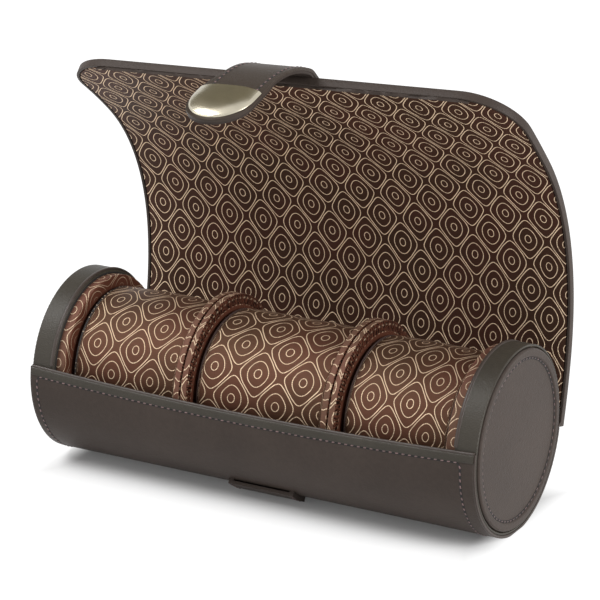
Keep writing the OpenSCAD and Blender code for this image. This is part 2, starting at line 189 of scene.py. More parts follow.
class Finish:
    """A material that is built node by node"""

    def __init__(self, name, **constants):
        self.material = bpy.data.materials.new(name)
        self.material.use_nodes = True
        self.tree = self.material.node_tree
        self.shader = self.tree.nodes["Principled BSDF"]
        self.set(**constants)

    def node(self, kind, settings=None, inputs=None, output=0):
        node = self.tree.nodes.new(kind)
        for key, value in (settings or {}).items():
            setattr(node, key, value)
        for key, value in (inputs or {}).items():
            self.link(value, node.inputs[key])
        return Wire(self, node.outputs[output])

    def link(self, value, socket):
        if isinstance(value, Wire):
            self.tree.links.new(value.socket, socket)
        else:
            socket.default_value = value

    def set(self, **sockets):
        for name, value in sockets.items():
            self.link(value, self.shader.inputs[name.replace("_", " ")])
        return self.material

    def place(self):
        """The piece's own place, in metres"""
        return self.node("ShaderNodeTexCoord", output=3)

    def split(self, vector):
        node = self.tree.nodes.new("ShaderNodeSeparateXYZ")
        self.link(vector, node.inputs[0])
        return [Wire(self, out) for out in node.outputs]

    def join(self, x, y, z):
        return self.node("ShaderNodeCombineXYZ", None, {0: x, 1: y, 2: z})

    def noise(self, vector, scale, detail=2.0, roughness=0.5):
        """Soft noise around 0.5; scale is its cells per metre where the vector is in metres"""
        inputs = {"Vector": vector, "Scale": scale, "Detail": detail, "Roughness": roughness}
        return self.node("ShaderNodeTexNoise", None, inputs)

    def cells(self, vector, scale):
        return self.node("ShaderNodeTexVoronoi", None, {"Vector": vector, "Scale": scale})

    def mix(self, factor, a, b):
        """A colour between a and b"""
        a = a if isinstance(a, Wire) else (*a, 1)
        b = b if isinstance(b, Wire) else (*b, 1)
        return self.node("ShaderNodeMix", {"data_type": "RGBA"}, {0: factor, 6: a, 7: b}, output=2)

    def bump(self, height, distance):
        return self.node("ShaderNodeBump", None, {"Height": height, "Distance": distance, "Strength": 1.0})

    def from_axis(self):
        """A point's place along the barrel, and its radius and angle round the barrel's axis"""
        x, y, z = self.split(self.place())
        rise = z - AXIS_H
        return x, y, rise, (y * y + rise * rise).maths("SQRT"), rise.maths("ARCTAN2", y)

    def facing(self):
        """How far a surface faces along the barrel, -1 to 1"""
        return self.split(self.node("ShaderNodeNewGeometry", output=1))[0]


def tint(colour, red, green, blue):
    return colour[0] * red, colour[1] * green, colour[2] * blue


def dim(colour, share):
    return tint(colour, share, share, share)


def leather(name, colour, grain=1.0, rough=0.44, shine=0.1):
    """Fine grained, lightly creased leather with a soft shine"""
    f = Finish(name, Specular_IOR_Level=shine)
    place = f.place()
    pebble = f.cells(place, 1250.0)
    fine = f.noise(place, 2600.0)
    broad = f.noise(place, 30.0, 3.0)
    crease = f.noise(place, 420.0, 3.0, 0.6)
    tone = broad * 0.6 + crease * 0.4
    shade = f.mix(tone.smooth(0.35, 0.7), dim(colour, 0.86), dim(colour, 1.12))
    pores = pebble.smooth(0.0, 0.35)
    shade = f.mix(1 - pores * 0.22, dim(colour, 0.72), shade)
    height = pebble * 0.7 + fine * 0.4 + crease * 0.6
    dull = rough - 0.06 + tone * 0.12 + fine * 0.03
    return f.set(Base_Color=shade, Roughness=dull, Normal=f.bump(height, 0.00012 * grain))


def lattice(u, v, across, along, thick):
    """Thin lines of nested rounded diamonds in staggered rows; u and v are in metres. 1 on a line"""
    ku = TURN / across
    kv = TURN / along
    # keeps the lines from spreading where the pattern is flat
    least_slope = 40.0
    # each nested line: where it lies in the pattern, and its share of the thickness
    rings = ((0.19, 1.0), (1.12, 0.9), (1.88, 0.85))
    pu = u * ku
    pv = v * kv
    field = pu.maths("COSINE") + pv.maths("COSINE")
    su = pu.maths("SINE") * ku
    sv = pv.maths("SINE") * kv
    slope = (su * su + sv * sv + least_slope ** 2).maths("SQRT")
    size = abs(field)
    lines = None
    for level, share in rings:
        d = abs(size - level) / slope
        line = 1 - d.smooth(thick * share * 0.32, thick * share * 0.68)
        lines = line if lines is None else lines.maths("MAXIMUM", line)
    return lines


def satin(name, colour, thread, coords, rough=0.46, gleam=0.15, faces=None):
    """Chocolate satin with thin woven tan lines; coords gives u and v in metres"""
    sizes = bpy.context.scene.case_sizes
    thick, rib_pitch, knot_u, knot_v = 0.0004, 0.00042, 0.00075, 0.0011
    f = Finish(name, Specular_IOR_Level=0.05, Metallic=gleam)
    place = f.place()
    u, v = coords(f)
    wander = f.noise(place, 150.0)
    line = lattice(u + (wander - 0.5) * 0.0007, v, sizes.pattern_across, sizes.pattern_along, thick)
    rib = (v * (TURN / rib_pitch)).maths("SINE")
    knots = (u * (TURN / knot_u) + v * (TURN / knot_v)).maths("SINE")
    broad = f.noise(f.join(u, v, 0.0), 22.0)
    slub = f.noise(f.join(u * 0.08, v, 0.0), 2400.0)
    cloth = f.mix(broad.smooth(0.36, 0.64), tint(colour, 0.85, 1.04, 0.98), dim(colour, 1.08))
    cloth = f.mix(slub.smooth(0.35, 0.75) * 0.35, cloth, dim(colour, 1.4))
    tan = f.mix((knots + 1) * 0.4, dim(thread, 1.3), dim(thread, 0.55))
    share = line * 0.96
    height = rib * 0.12 + slub * 0.25 + line * (0.7 + knots * 0.3)
    if faces:
        fold, gathered, face, bare, stitches = faces(f)
        red = tint(colour, 0.66, 0.5, 0.42)
        cloth = f.mix(face, cloth, red)
        # painted shade: the gathered ring's folds darken nearly to black
        cloth = f.mix(fold.smooth(0.2, 0.6) * gathered, cloth, dim(red, 0.1))
        # painted glints: pale dots in the thread's colour along the overcast edges of a divider's gathered
        # ring
        cloth = f.mix(stitches * 0.5, cloth, thread)
        share = share * (1 - face * 0.45) * (1 - bare)
        height = height - fold * gathered * 3.0
    shade = f.mix(share, cloth, tan)
    dull = rough - line * 0.04 + slub * 0.06
    return f.set(Base_Color=shade, Roughness=dull, Normal=f.bump(height, 0.00014))


# a lined board in metres: its radius, where its wrapped cloth starts, and its gathered ring's two edges
BOARD_R = 0.0425
WRAPPED_R = 0.0355
GATHER_IN, GATHER_OUT = 0.0387, 0.0421


def gathered_face(f):
    """How far a lined board is fold, gathered, face, bare of lines and marked with painted glints, each from
    0 to 1; the folds also set painted shade
    """
    x, _, _, radius, angle = f.from_axis()
    nx = f.facing()
    uneven = f.noise(f.join(angle * 12.0, radius * 160.0, x * 40.0), 3.0, 3.0)
    fold = (angle * 150.0 + uneven * 16.0).maths("SINE") * 0.3 + uneven * 0.7
    face = nx.smooth(0.3, 0.45)
    ring = radius.smooth(0.0385, 0.039)
    # the two end boards aren't gathered
    ends = abs(x).smooth(0.06, 0.07)
    # painted glints: pale dots along both edges of a divider's gathered ring, light caught by its overcast
    # edges
    beat = (angle * 72.0 + uneven * 9.0).maths("SINE").smooth(0.1, 0.6) * uneven.smooth(0.35, 0.6)
    inner = 1 - abs(radius - GATHER_IN).smooth(0.0001, 0.00035)
    outer = 1 - abs(radius - GATHER_OUT).smooth(0.0002, 0.0006)
    bare = face * (1 - radius.smooth(0.0358, 0.0415) * ends)
    sewn = beat * inner.maths("MAXIMUM", outer) * nx.smooth(0.1, 0.4) * (1 - ends)
    return fold, face * ring * (1 - ends), face, bare, sewn


def flat_uv(f):
    u, v, _ = f.split(f.node("ShaderNodeTexCoord", output=2))
    return u, v


def cushion_cloth(f):
    """The cloth's own u and v round a cushion, and straight across its two ends"""
    u, v = flat_uv(f)
    _, y, z = f.split(f.place())
    end = abs(f.facing()).smooth(0.63, 0.66)
    return u + (y - u) * end, v + (z - v) * end


def disc_face(f):
    """Cloth wrapped over a board: round its rim and a little way down its faces, then straight across them"""
    x, y, rise, radius, angle = f.from_axis()
    side = f.facing().smooth(-0.25, 0.25) * 2 - 1
    inner = 1 - radius.smooth(WRAPPED_R, WRAPPED_R + 0.0001)
    around = angle * 0.042
    over = x + side * (BOARD_R - radius)
    return over + (y - over) * inner, around + (rise - around) * inner


def plate_finish(name, colour):
    """Polished pale gold metal with faint fine scratches"""
    f = Finish(name, Metallic=1.0)
    place = f.place()
    x, y, z = f.split(place)
    streak = f.noise(f.join(x * 0.05, y, z), 5000.0, 3.0)
    cloud = f.noise(place, 150.0)
    shade = f.mix(cloud.smooth(0.3, 0.7), dim(colour, 0.94), colour)
    dull = 0.21 + streak * 0.05 + cloud * 0.03
    return f.set(Base_Color=shade, Roughness=dull, Normal=f.bump(streak, 0.00001))


def thread_finish(name, colour):
    """Waxed sewing thread that shines at the middle of a stitch; towards its two ends it is painted near
    black, painted shade of the holes it sinks into
    """
    f = Finish(name)
    place = f.place()
    twist = f.noise(place, 4000.0, 1.0)
    tone = f.noise(place, 300.0)
    _, v = flat_uv(f)
    # painted shade: each dash darkens to near black towards its ends, where it sinks into its hole
    hole_shade = abs(v - 0.5).smooth(0.16, 0.3)
    shade = f.mix(tone.smooth(0.35, 0.65), dim(colour, 0.7), dim(colour, 1.3))
    shade = f.mix(hole_shade, shade, (0.008, 0.005, 0.005))
    dull = 0.4 + twist * 0.12 + hole_shade * 0.3
    return f.set(Base_Color=shade, Roughness=dull, Normal=f.bump(twist, 0.00006))


def board_finish(name, colour):
    f = Finish(name)
    place = f.place()
    fibre = f.noise(place, 900.0, 4.0, 0.7)
    shade = f.mix(fibre.smooth(0.3, 0.7), dim(colour, 0.8), dim(colour, 1.1))
    return f.set(Base_Color=shade, Roughness=0.78 + fibre * 0.12, Normal=f.bump(fibre, 0.0001))


def bead_finish(name, dark, light):
    """A dark bound edge with a row of pale overcast stitches; u runs along the edge in metres"""
    f = Finish(name)
    u, v = flat_uv(f)
    pitch = 0.0026
    beat = (u * (TURN / pitch)).maths("SINE")
    seen = ((v - 0.08) * TURN).maths("COSINE")
    worn = f.noise(f.join(u * 420.0, 0.0, 0.0), 1.0, 1.0).smooth(0.42, 0.6)
    dots = beat.smooth(0.55, 0.85) * seen.smooth(0.7, 0.9) * worn
    fuzz = f.noise(f.place(), 1800.0)
    shade = f.mix(dots * 0.9, dark, light)
    height = beat * 0.4 + fuzz * 0.4
    return f.set(Base_Color=shade, Roughness=0.6 + fuzz * 0.15, Normal=f.bump(height, 0.0001))


# ---- modelling helpers


def mode(name):
    bpy.ops.object.mode_set(mode=name)


def select(action):
    """Selects all of a mesh, or nothing, in edit mode"""
    bpy.ops.mesh.select_all(action=action)


def clear_selection():
    bpy.ops.object.select_all(action="DESELECT")


def pick(obj):
    clear_selection()
    obj.select_set(True)
    bpy.context.view_layer.objects.active = obj


def into_scene(obj):
    bpy.context.scene.collection.objects.link(obj)


def called(obj, name):
    obj.name = name
    obj.data.name = name
    return obj


def applied(obj, name, kind, **settings):
    """Adds a modifier to an object and applies it"""
    pick(obj)
    modifier = obj.modifiers.new(name, kind)
    for key, value in settings.items():
        setattr(modifier, key, value)
    bpy.ops.object.modifier_apply(modifier=modifier.name)


def loop_points(obj, points):
    """The row of points that belongs to each loop of a mesh"""
    index = np.empty(len(obj.data.loops), int)
    obj.data.loops.foreach_get("vertex_index", index)
    return points[index]


def tidy_mesh(obj, angle, merge=True):
    pick(obj)
    mode("EDIT")
    select("SELECT")
    if merge:
        bpy.ops.mesh.remove_doubles(threshold=2e-6)
    bpy.ops.mesh.normals_make_consistent(inside=False)
    mode("OBJECT")
    bpy.ops.object.shade_smooth_by_angle(angle=math.radians(angle))
    return obj


def laid_grid(name, columns, rows, place, uv_size=(1, 1)):
    """Adds a grid and lays each of its points where place(u, v) says, u and v from 0 to 1"""
    clear_selection()
    bpy.ops.mesh.primitive_grid_add(x_subdivisions=columns, y_subdivisions=rows, size=2)
    obj = called(bpy.context.object, name)
    co = vertices(obj)
    u = np.clip((co[:, 0] + 1) / 2, 0, 1)
    v = np.clip((co[:, 1] + 1) / 2, 0, 1)
    set_vertices(obj, place(u, v))
    layer = obj.data.uv_layers[0]
    uv = np.empty(len(obj.data.loops) * 2)
    layer.data.foreach_get("uv", uv)
    uv = uv.reshape(-1, 2) * np.array(uv_size)
    layer.data.foreach_set("uv", uv.ravel())
    return obj


def paint(obj, material):
    obj.data.materials.clear()
    obj.data.materials.append(material)
    return obj


def vertices(obj):
    co = np.empty(len(obj.data.vertices) * 3)
    obj.data.vertices.foreach_get("co", co)
    return co.reshape(-1, 3)


def set_vertices(obj, co):
    obj.data.vertices.foreach_set("co", np.ascontiguousarray(co).ravel())
    obj.data.update()


def flat_sheet(name, half_w, length, corner, heights, rim, recess=None, columns=44, step=4.0):
    """A flat sheet with two rounded corners at its far end: x across it, y along it and z its height.
    length and heights are its limits, in millimetres, and rim its soft edge's width, in metres;
    recess is the border and depth of a tray sunk into its low face."""
    start, end = length
    low, high = heights
    straight = max(2, int(round((end - corner - start) / step)))
    turn = 14
    total = straight + turn
    bend = np.linspace(0, math.pi / 2, turn + 1)[1:]
    knots_s = np.concatenate([
        np.linspace(start, end - corner, straight + 1), end - corner + corner * np.sin(bend)])
    knots_x = np.concatenate([
        np.full(straight + 1, half_w), half_w - corner + corner * np.cos(bend)])

    def place(u, v):
        k = np.clip(np.round(v * total), 0, total).astype(int)
        x = (u * 2 - 1) * knots_x[k]
        return np.stack([x * MM, knots_s[k] * MM, np.full_like(x, high) * MM], -1)

    obj = laid_grid(name, columns, total, place)
    applied(obj, "thickness", "SOLIDIFY", thickness=(high - low) * MM, offset=-1)
    if recess:
        border, depth = recess
        mode("EDIT")
        select("DESELECT")
        bpy.ops.mesh.select_mode(type="FACE")
        mode("OBJECT")
        for p in obj.data.polygons:
            p.select = p.normal.z < -0.9
        mode("EDIT")
        bpy.ops.mesh.inset(thickness=border * MM, use_even_offset=True)
        bpy.ops.mesh.inset(thickness=0.15 * MM, depth=-depth * MM, use_even_offset=True)
        mode("OBJECT")
    corners = {"limit_method": "ANGLE", "angle_limit": math.radians(50)}
    applied(obj, "soft edge", "BEVEL", width=rim, segments=3, **corners)
    return obj


def cut_length(obj, name, low, high):
    """A copy of a flat sheet between two lengths, with closed ends; None keeps an end"""
    piece = obj.copy()
    piece.data = obj.data.copy()
    called(piece, name)
    into_scene(piece)
    pick(piece)
    for place, side in ((low, -1), (high, 1)):
        if place is None:
            continue
        mode("EDIT")
        select("SELECT")
        bpy.ops.mesh.bisect(
            plane_co=(0, place * MM, 0), plane_no=(0, side, 0), use_fill=True,
            clear_outer=True, threshold=1e-7)
        mode("OBJECT")
    return piece


def unroll_uv(obj, shift=(0.0, 0.0)):
    """Gives a flat sheet a map in metres, from its place before it is bent"""
    layers = obj.data.uv_layers
    while layers:
        layers.remove(layers[0])
    uv = loop_points(obj, vertices(obj)[:, :2] + np.array(shift))
    layers.new(name="cloth").data.foreach_set("uv", uv.ravel())


def dashes(name, places, material, length=2.3):
    """Sewn stitches: one dash is modelled, then copied to each (point, direction, normal) in millimetres"""
    width, height, tilt = 0.8, 0.6, 9.0
    clear_selection()
    bpy.ops.mesh.primitive_uv_sphere_add(segments=8, ring_count=6, radius=0.5)
    seed = bpy.context.object
    co = vertices(seed)
    set_vertices(seed, co[:, [2, 0, 1]] * np.array([length, width, height]))
    copies = []
    for point, direction, normal in places:
        d = Vector(direction).normalized()
        n = Vector(normal).normalized()
        d = (d - n * d.dot(n)).normalized()
        d = Matrix.Rotation(math.radians(tilt), 3, n) @ d
        side = n.cross(d)
        turn = Matrix((d, side, n)).transposed().to_4x4()
        turn.translation = Vector(point)
        mesh = seed.data.copy()
        mesh.transform(Matrix.Scale(MM, 4) @ turn)
        o = bpy.data.objects.new(name, mesh)
        into_scene(o)
        copies.append(o)
    bpy.data.objects.remove(seed)
    clear_selection()
    for o in copies:
        o.select_set(True)
    bpy.context.view_layer.objects.active = copies[0]
    bpy.ops.object.join()
    obj = called(bpy.context.object, name)
    pick(obj)
    bpy.ops.object.shade_smooth()
    return paint(obj, material)


def lengths(points):
    """How far along a line each of its points lies"""
    return np.concatenate([[0], np.cumsum(np.linalg.norm(np.diff(points, axis=0), axis=1))])


def along_line(points, normals, pitch, inset=0.0):
    """Evenly spaced (point, direction, normal) places along a line of points, in millimetres"""
    points = np.asarray(points, float)
    normals = np.asarray(normals, float)
    run = lengths(points)
    count = max(1, int((run[-1] - 2 * inset) / pitch))
    spots = inset + (np.arange(count) + 0.5) * (run[-1] - 2 * inset) / count
    reach = 0.4

    def at(s, values):
        return np.array([np.interp(s, run, values[:, k]) for k in range(3)])

    return [(at(s, points), at(s + reach, points) - at(s - reach, points), at(s, normals)) for s in spots]


def seam_groove(name, points, normals):
    """A near-black strip under a row of stitches, painted shade that stands for the groove they lie in, in
    millimetres
    """
    points = np.asarray(points, float)
    normals = np.asarray(normals, float)
    ahead = np.gradient(points, axis=0)
    sides = np.cross(normals, ahead)
    sides = sides / np.linalg.norm(sides, axis=1)[:, None]
    # half of the groove's section, as out and side; the other half mirrors it
    half = [(0.04, 0.4), (0.0, 0.62), (-0.25, 0.45)]
    profile = [(out, -side) for out, side in half] + half[::-1]
    closed = bool(np.allclose(points[0], points[-1], atol=1e-6))
    if closed:
        sides[0] = sides[-1] = sides[1] * 0.5 + sides[-2] * 0.5
    return paint(swept(name, points, normals, sides, profile, closed=closed), finish("groove"))


def swept(name, centres, normals, sides, profile, closed=False):
    """A tube along centres; the profile's points are (out, side) offsets in the plane of normal and side"""
    centres, normals, sides, profile = [np.asarray(a, float) for a in (centres, normals, sides, profile)]
    n, m = len(centres), len(profile)
    run = lengths(centres)

    def place(u, v):
        i = np.round(u * (n - 1)).astype(int)
        j = np.round(v * m).astype(int) % m
        return (centres[i] + normals[i] * profile[j, :1] + sides[i] * profile[j, 1:2]) * MM

    obj = laid_grid(name, n - 1, m, place, (run[-1] * MM, 1))
    pick(obj)
    mode("EDIT")
    select("SELECT")
    bpy.ops.mesh.remove_doubles(threshold=1e-6)
    if not closed:
        select("DESELECT")
        bpy.ops.mesh.select_mode(type="EDGE")
        bpy.ops.mesh.select_non_manifold()
        bpy.ops.mesh.edge_face_add()
    mode("OBJECT")
    return tidy_mesh(obj, 50, merge=False)


def oval(half_a, half_b, count=12):
    turn = TURN / count
    return [(half_a * math.cos(turn * k), half_b * math.sin(turn * k)) for k in range(count)]


def barrel_point(x, r, angle):
    """A point of the barrel in millimetres; the angle is counted from the back upwards, in radians"""
    return np.array([x, r * math.cos(angle), r * math.sin(angle) + AXIS_MM])


def outward(angles):
    """The directions that lead straight out of the barrel at these angles"""
    return [(0, math.cos(a), math.sin(a)) for a in angles]


def barrel_roll(name, x, r, angles, side, section, closed=False):
    """A roll that follows the barrel round an arc; its section's points are (out, side) offsets"""
    centres = [barrel_point(x, r, a) for a in angles]
    return swept(name, centres, outward(angles), [(side, 0, 0)] * len(angles), section, closed=closed)


def dress(obj, material, body=None):
    """Gives a piece its material, and lets it ride a body"""
    paint(obj, finish(material))
    if body:
        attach(obj, body)


# ---- settings


def colour_setting(name, description, value):
    return bpy.props.FloatVectorProperty(
        name=name, description=description, subtype="COLOR", default=value, size=3)


def length_setting(name, description, value):
    return bpy.props.FloatProperty(name=name, description=description, default=value, unit="LENGTH")


class CaseColours(bpy.types.PropertyGroup):
    leather: colour_setting("Leather", "Brown of the outer leather", (0.050, 0.038, 0.032))
    lining: colour_setting("Lining", "Brown of the satin lining", (0.060, 0.0255, 0.0175))
    thread: colour_setting("Line", "Tan of the woven lines", (0.64, 0.48, 0.33))
    stitch: colour_setting("Stitch", "Red brown of the sewing thread", (0.14, 0.082, 0.078))
    metal: colour_setting("Metal", "Pale gold of the plate", (0.56, 0.515, 0.405))


class CaseSizes(bpy.types.PropertyGroup):
    twist: bpy.props.FloatProperty(
        name="Flap Twist", default=6.2,
        description="How far the flap's right corner leans back at its free edge, in millimetres")
    stitch_pitch: length_setting("Stitch Pitch", "Spacing of the sewn stitches", 0.0033)
    strap_middle: length_setting("Strap Middle", "The strap's place along the barrel", 0.0035)
    pattern_across: length_setting("Pattern Across", "Width of one repeat of the lining's lines", 0.0195)
    pattern_along: length_setting("Pattern Along", "Height of one repeat of the lining's lines", 0.027)


_made = {}


def finish(key):
    """The case's finishes, each made once"""
    if key in _made:
        return _made[key]
    c = bpy.context.scene.case_colours
    # the rims and the lip band take a darker, more olive leather; on the lip band the darkening is painted
    # shade, since its top faces the lamp above
    rim = tint(c.leather, 0.8, 0.9, 0.82)
    strap = tint(c.leather, 0.9, 0.88, 0.82)
    on_boards = tint(c.lining, 2.0, 2.15, 2.2)
    on_cushions = tint(c.lining, 1.2, 1.2, 1.1)
    make = {
        "leather": (leather, "leather_brown", c.leather),
        "leather_strap": (leather, "leather_on_strap", strap, 1.0, 0.42, 0.15),
        "leather_edge": (leather, "leather_rolled_edge", dim(c.leather, 0.95), 0.6, 0.33, 0.25),
        "leather_rim": (leather, "leather_rim", rim, 0.9, 0.42, 0.2),
        "leather_band": (leather, "leather_band", rim, 1.2, 0.36, 0.2),
        "backing": (leather, "leather_backing", dim(c.leather, 0.8), 0.8, 0.5),
        "lining": (satin, "lining_satin", dim(c.lining, 0.87), dim(c.thread, 1.4), flat_uv),
        "lining_board": (
            satin, "lining_on_boards", on_boards, c.thread, disc_face, 0.46, 0.15, gathered_face),
        "cushion": (satin, "cushion_satin", on_cushions, c.thread, cushion_cloth, 0.42, 0.4),
        "pad": (satin, "pad_satin", c.lining, c.thread, flat_uv),
        # painted shade: the near-black strip under the seams, and the ring in the gap round each lined end
        # board
        "groove": (board_finish, "seam_groove", dim(c.leather, 0.12)),
        # painted shade: the cushions' bindings are darkened satin, for the shade along the cushions' edges
        "piping": (board_finish, "dark_piping", dim(c.lining, 0.5)),
        "board": (board_finish, "greyboard", (0.34, 0.27, 0.18)),
        "metal": (plate_finish, "plate_metal", c.metal),
        "stitch": (thread_finish, "sewing_thread", c.stitch),
        # painted shade: the stitches on the end discs are the sewing thread at half its brightness
        "end_stitch_shaded": (thread_finish, "sewing_thread_on_ends", dim(c.stitch, 0.5)),
        "bead": (bead_finish, "overcast_edge", (0.010, 0.007, 0.006), (0.5, 0.38, 0.28)),
    }
    build, *values = make[key]
    _made[key] = build(*values)
    return _made[key]


# ---- operators


class CASE_OT_dress(bpy.types.Operator):
    """Give every solid of the case its leather, lining, board or metal"""

    bl_idname = "case.dress"
    bl_label = "Finish the Solids"

    def execute(self, context):
        by_slot = {
            "leather_brown": "leather", "leather_backing": "backing", "lining_chocolate": "lining_board",
            "cushion_fabric": "cushion", "foam": "pad", "greyboard": "board", "plate_metal": "metal"}
        for part in frame["record"]["subparts"]:
            node = part["node"]
            key = "leather_rim" if node.endswith("_rim") else by_slot[part["material_slot"]]
            paint(frame["nodes"][node], finish(key))
        return {"FINISHED"}


class CASE_OT_flap(bpy.types.Operator):
    """Model the curved flap: leather outside, satin inside, cut where it bends"""

    bl_idname = "case.flap"
    bl_label = "Model the Flap"

    def execute(self, context):
        twist = context.scene.case_sizes.twist
        # both sheets start below the first fold and are cut there; the cloth ends short of the leather
        below, cut, short, corner = -8, -2.6, 1.9, 27
        shell = flat_sheet(
            "flap_shell", FLAP_HALF, (below, FLAP_LEN), corner, (0.0, FLAP_T), 0.0006, recess=(1.3, 1.5))
        cloth = flat_sheet(
            "flap_cloth", FLAP_HALF - short, (below, FLAP_LEN - short), corner - short, (0.1, 1.45), 0.0005)
        for sheet, word, material, slot, node in (
                (shell, "leather", "leather", "leather_brown", ("flap_leather_", "flap_board_")),
                (cloth, "satin", "lining", "lining_chocolate", ("flap_lining_",))):
            for i in range(PANELS):
                low = cut if i == 0 else PANEL * (i - 0.5)
                high = None if i == PANELS - 1 else PANEL * (i + 0.5)
                piece = cut_length(sheet, f"flap_{word}_bend_{i + 1}", low, high)
                unroll_uv(piece, (0.0, 0.1))
                co = vertices(piece) / MM
                set_vertices(piece, flap_point(co[:, 0], co[:, 1], co[:, 2], twist))
                tidy_mesh(piece, 45, merge=False)
                dress(piece, material)
                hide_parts(*[f"{n}{i + 1}" for n in node])
                start = flap_point(np.zeros(1), np.array([float(low)]), np.zeros(1), 0)[0]
                end = flap_point(np.zeros(1), np.array([PANEL * (i + 0.5)]), np.zeros(1), 0)[0]
                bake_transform(piece)
            bpy.data.objects.remove(sheet)
        return {"FINISHED"}


class CASE_OT_strap(bpy.types.Operator):
    """Model the strap, its backing and its stitches, sewn to the flap, curved and cut into two pieces"""

    bl_idname = "case.strap"
    bl_label = "Model the Strap"

    def execute(self, context):
        sizes = context.scene.case_sizes
        middle, twist = sizes.strap_middle / MM, sizes.twist
        # where the strap's sewn part starts, its two pieces part, and its seams lie and end
        sewn, parting, seam_x, seam_end = -22.7, 30.0, 11.7, 49.0
        # the backing is a little smaller than the leather
        less = 0.2
        half = STRAP_HALF - less
        outer = flat_sheet(
            "strap_outer", STRAP_HALF, (sewn, STRAP_END), STRAP_HALF, (1.35, STRAP_T), 0.0006,
            columns=16, step=1.6)
        back = flat_sheet(
            "strap_back", half, (sewn, STRAP_END - less), half, (0.0, 1.3), 0.0004, columns=16, step=1.6)
        # each piece's limits, the bodies it bends between, where the bend lies, and the solids it stands for
        cuts = (
            ("root", None, parting, "flap_7", "strap", -1.0, 18.0, ("root", "tongue")),
            ("tip", parting, None, "strap", "strap_tip", 38.0, 50.0, ("tip",)))

        def spot(s):
            return tuple(strap_point(np.zeros(1), np.array([s]), np.zeros(1), middle, twist)[0])

        def bend(obj, flare):
            co = vertices(obj) / MM
            wide = tip_flare(co[:, 1]) if flare else 1.0
            set_vertices(obj, strap_point(co[:, 0] * wide, co[:, 1], co[:, 2], middle, twist))

        for where, low, high, a, b, start, end, parts in cuts:
            for sheet, word, layer, material, slot in (
                    (outer, "outer", "leather", "leather_strap", "leather_brown"),
                    (back, "back", "backing", "backing", "leather_backing")):
                piece = cut_length(sheet, f"strap_{where}_{word}_skin", low, high)
                unroll_uv(piece)
                bend(piece, True)
                tidy_mesh(piece, 45, merge=False)
                dress(piece, material)
                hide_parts(*[f"strap_{part}_{layer}" for part in parts])
                spot(start)
                spot(end)
                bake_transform(piece)
            s0 = sewn + 2 if low is None else low
            s1 = seam_end if high is None else high
            count = int((s1 - s0) / (sizes.stitch_pitch / MM))
            places = [
                ((side * seam_x, s0 + (k + 0.5) * (s1 - s0) / count, STRAP_T), (0, 1, 0), (0, 0, 1))
                for side in (-1, 1) for k in range(count)]
            row = dashes(f"strap_{where}_stitches", places, finish("stitch"))
            bend(row, False)
            spot(start)
            spot(end)
            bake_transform(row)
            run = np.arange(s0, s1, 0.8)
            up = np.tile((0.0, 0.0, 1.0), (len(run), 1))
            for edge, side in SIDES:
                points = [(side * seam_x, s, STRAP_T) for s in run]
                groove = seam_groove(f"strap_{where}_groove_{edge}", points, up)
                bend(groove, False)
                spot(start)
                spot(end)
                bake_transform(groove)
        bpy.data.objects.remove(outer)
        bpy.data.objects.remove(back)
        return {"FINISHED"}


class CASE_OT_plate(bpy.types.Operator):
    """Model the domed metal plate on the strap's rounded end"""

    bl_idname = "case.plate"
    bl_label = "Model the Plate"

    def execute(self, context):
        sizes = context.scene.case_sizes
        middle, twist = sizes.strap_middle / MM, sizes.twist
        # the plate's two ends along the strap, half its width, its edge's thickness and its dome's height
        first, last, half, thin, high = 50.0, STRAP_END - 2.0, 15.35, 0.5, 2.4
        # the rounded end starts at reach
        reach = last - half
        rows, columns, turn = 44, 48, 30
        lead = rows - turn

        def place(u, v):
            k = v * rows
            theta = np.clip((k - lead) / turn, 0, 1) * math.pi / 2
            s = np.where(k <= lead, first + (reach - first) * k / lead, reach + half * np.sin(theta))
            wide = np.where(k <= lead, half, half * np.cos(theta))
            x = (u * 2 - 1) * wide
            # the dome falls to a thin rounded edge at its sides and round its end
            radial = np.where(s > reach, half - np.hypot(x, s - reach), half - np.abs(x))
            edge = np.minimum(radial, s - first + 0.6)
            rise = thin * (1 - np.clip(1 - edge / thin, 0, 1) ** 2) ** 0.5
            dome = high * (1 - np.clip(1 - radial / half, 0, 1) ** 3.4)
            return strap_point(x, s, STRAP_T + 0.02 + rise + dome, middle, twist)

        plate = laid_grid("strap_plate_metal", columns, rows, place)
        applied(plate, "thickness", "SOLIDIFY", thickness=0.4 * MM, offset=-1)
        tidy_mesh(plate, 60)
        dress(plate, "metal", "strap_tip")
        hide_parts("strap_plate")
        return {"FINISHED"}


